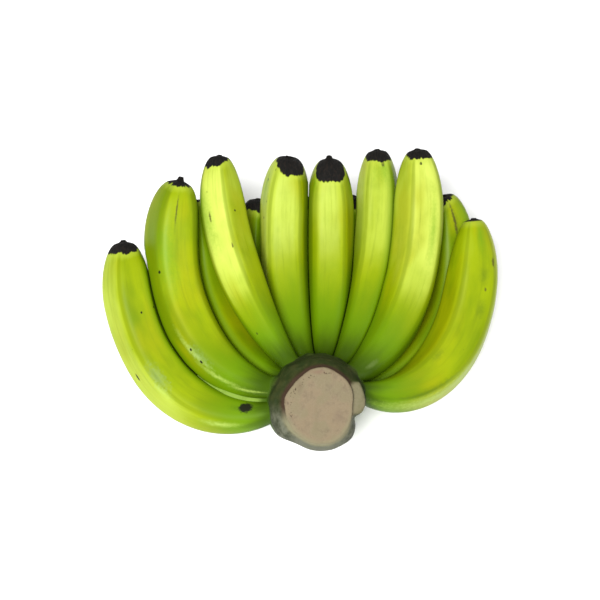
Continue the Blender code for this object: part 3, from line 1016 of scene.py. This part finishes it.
# %% The cut face
def cut_colour(rind, own, mottle, pores, grain, sideways, upright):
    """Tan tissue with fibres and pores, a broken reddish ring near its edge, and a few spots."""
    patches = rind.noise(own, 75.0, 2.0, 0.5)
    cut = rind.mix(rind.ramp(patches, 0.42, 0.58), TAN_PINK, TAN)
    cut = rind.mix(rind.ramp(mottle, 0.52, 0.30, 0.0, 0.60), cut, TAN_DARK)
    cut = rind.mix(rind.ramp(grain, 0.45, 0.80, 0.0, 0.5), cut, TAN_PALE)
    cut = rind.mix(rind.ramp(pores, 0.66, 0.78, 0.0, 0.6), cut, TAN_DARK)

    near_rim = rind.math("SUBTRACT", 0.85, rind.read("edge_share"))
    ring = rind.ramp(rind.math("ABSOLUTE", near_rim), 0.10, 0.02)
    dots = rind.ramp(rind.noise(own, 620.0, 1.0), 0.58, 0.68)
    upper_left = rind.ramp(rind.math("SUBTRACT", upright, sideways), -0.6, 1.1, 0.08, 0.85)
    dotted_ring = rind.times(rind.times(ring, dots), upper_left)
    cut = rind.mix(dotted_ring, cut, RIM_BROWN)
    outermost = rind.ramp(rind.read("edge_share"), 0.84, 0.98)
    low_rim = rind.times(outermost, rind.ramp(upright, 0.1, -0.7))
    cut = rind.mix(rind.times(low_rim, 0.6), cut, RIM_OLIVE)

    uneven = rind.plus(mottle, -0.5)
    for (across, along), (wide, high), strength, shade in CUT_SPOTS:
        centre, size = (across, FACE_LEVEL, along), (wide, SPOT_DEPTH, high)
        spot = rind.spot(own, centre, size, uneven, -0.2)
        cut = rind.mix(rind.times(spot, strength), cut, shade)
    return cut


# %% [markdown]
# The rind changes with its bearing, dark above and grey below, and turns green far from the middle,
# where the stalks and the web begin. The dark top is partly painted shade under the stalks. How deep
# a place lies behind the cut decides which of cut face, rim and rind it is. Broad lumps in the bump are
# left off the cut, which a knife made smooth.


# %% The rind and the whole crown
def hide_colour(rind, behind, mottle, upright):
    """Dark above, partly as painted shade, grey below, green where stalks and the web begin, and tan in the
    side cut.
    """
    patchy = rind.ramp(mottle, 0.35, 0.70)
    top_rind_and_painted_shade = rind.mix(patchy, COLLAR_GREEN, COLLAR_OLIVE)
    lower = rind.mix(patchy, RIND_GREY, RIND_PALE)
    lower = rind.mix(rind.ramp(upright, -0.70, -0.97, 0.0, 0.75), lower, RIND_PALE)
    hide = rind.mix(rind.ramp(upright, -0.55, 0.10), lower, top_rind_and_painted_shade)
    reach = rind.plus(rind.read("from_middle"), rind.times(mottle, 0.004))
    far_out = rind.times(rind.ramp(reach, 0.0340, 0.0385), rind.ramp(behind, 0.012, 0.020))
    hide = rind.mix(far_out, hide, STALK_GREEN)
    hide = rind.mix(rind.ramp(rind.read("from_middle"), 0.038, 0.046), hide, WEB_GREEN)
    return rind.mix(rind.read("side_cut"), hide, rind.mix(patchy, SIDE_OLIVE, SIDE_TAN))


def crown_finish():
    """The whole finish of the crown."""
    rind = Finish("cut_face_and_rind")
    own, behind = rind.read("own_axes", "Vector"), rind.read("behind_cut")
    bearing = rind.node("SeparateXYZ", {"Vector": rind.read("bearing_turn", "Vector")})
    sideways, upright = bearing.outputs["X"], bearing.outputs["Y"]
    mottle = rind.noise(own, 160.0, 4.0, 0.6)
    pores = rind.noise(own, 420.0, 2.0, 0.5)
    grain = rind.noise(rind.scaled(own, (1.0, 0.3, 1.0)), 900.0, 3.0, 0.6)

    edge = rind.plus(behind, rind.times(pores, 0.0012))
    below_cut = rind.mix(rind.ramp(upright, -0.55, -0.05), RIM_OLIVE, RIM_BROWN)
    below_cut = rind.mix(rind.read("side_cut"), below_cut, SIDE_TAN)
    hide = hide_colour(rind, behind, mottle, upright)
    wall = rind.mix(rind.ramp(edge, 0.0045, 0.0075), below_cut, hide)
    cut = cut_colour(rind, own, mottle, pores, grain, sideways, upright)
    rind.put("Base Color", rind.mix(rind.ramp(edge, 0.0011, 0.0019), cut, wall))
    rind.put("Roughness", rind.ramp(mottle, 0.3, 0.7, 0.62, 0.82))

    lumps = rind.times(rind.noise(own, 95.0, 2.0, 0.4), rind.ramp(edge, 0.0015, 0.0060))
    relief = rind.bump(lumps, 0.8, 0.0050)
    relief = rind.bump(mottle, 0.45, 0.0018, relief)
    relief = rind.bump(grain, 0.30, 0.0005, relief)
    rind.put("Normal", relief)
    rind.put("Specular IOR Level", 0.15)
    return rind.material


crown.data.materials.clear()
crown.data.materials.append(crown_finish())
print("crown finished")

# %% [markdown]
# ## Camera
# The photograph looks almost straight at the cut face, from a little above. In the hand's own axes that
# is a view along AWAY, raised by two degrees, from 0.7 m. The crown sits below the middle of the picture.

# %% The camera
PICTURE, FOCAL = 600, 1014.0  # side of the photograph and focal length, in pixels
DISTANCE, CAMERA_RISE = 0.700, math.radians(2.0)
AIM, AIM_PIXEL = np.array([0.0, -0.020, 0.0]), (319, 405)  # a point of the crown, and its pixel

back = np.array([0.0, -math.cos(CAMERA_RISE), math.sin(CAMERA_RISE)])
upward = np.array([0.0, math.sin(CAMERA_RISE), math.cos(CAMERA_RISE)])
right_by = (AIM_PIXEL[0] - PICTURE / 2) / FOCAL * DISTANCE
up_by = (PICTURE / 2 - AIM_PIXEL[1]) / FOCAL * DISTANCE
place = AIM + DISTANCE * back - right_by * ACROSS - up_by * upward


def world_way(way):
    """A direction in the hand's own axes, turned as the hand is."""
    return Vector(lying(way) - lying(np.zeros(3)))


camera_data = bpy.data.cameras.new("camera")
camera_data.lens = FOCAL / PICTURE * camera_data.sensor_width
camera = linked("camera", camera_data)
turned = Matrix([world_way(ACROSS), world_way(upward), world_way(back)]).transposed()
camera.matrix_world = Matrix.Translation(Vector(lying(place))) @ turned.to_4x4()
bpy.context.scene.camera = camera
print("camera at", [round(value, 3) for value in camera.location], "lens", round(camera_data.lens, 1))

# %% [markdown]
# ## Floor and light
# The floor is plain and nearly white. One large soft light stands behind the viewer, a little to the
# left, so the peel's faces that look at the camera are brightest. A weak second light on the other
# side and the pale world fill the shadows.

# %% Floor, lights and world
FLOOR_HALF, FLOOR_DROP = 6.0, 0.0002  # the drop keeps the floor out of the flat resting spots
LIT_POINT = Vector((0, 0, 0.05))
WORLD_STRENGTH = 0.55

floor_shape = bmesh.new()
bmesh.ops.create_grid(floor_shape, x_segments=1, y_segments=1, size=FLOOR_HALF)
floor_mesh = mesh_from(floor_shape, "floor")
floor = linked("floor", floor_mesh)
floor.location.z = -FLOOR_DROP
paper = Finish("white_paper")
paper.put("Base Color", (0.90, 0.90, 0.90, 1.0))
paper.put("Roughness", 0.9)
paper.put("Specular IOR Level", 0.0)
floor_mesh.materials.append(paper.material)


def soft_light(name, place, size, power):
    lamp = bpy.data.lights.new(name, "AREA")
    lamp.shape, lamp.size, lamp.energy = "DISK", size, power
    light = linked(name, lamp)
    light.location = place
    light.rotation_euler = (LIT_POINT - Vector(place)).to_track_quat("-Z", "Y").to_euler()


soft_light("key", (-0.22, -0.62, 1.15), 0.60, 30.0)
soft_light("fill", (0.9, 0.3, 0.9), 1.0, 3.0)
world = bpy.data.worlds.new("studio")
bpy.context.scene.world = world
world.use_nodes = True
sky = world.node_tree.nodes["Background"]
sky.inputs["Color"].default_value = (1.0, 1.0, 1.0, 1.0)
sky.inputs["Strength"].default_value = WORLD_STRENGTH
bpy.context.scene.view_settings.view_transform = "Standard"
print("floor, two soft lights and a pale world")
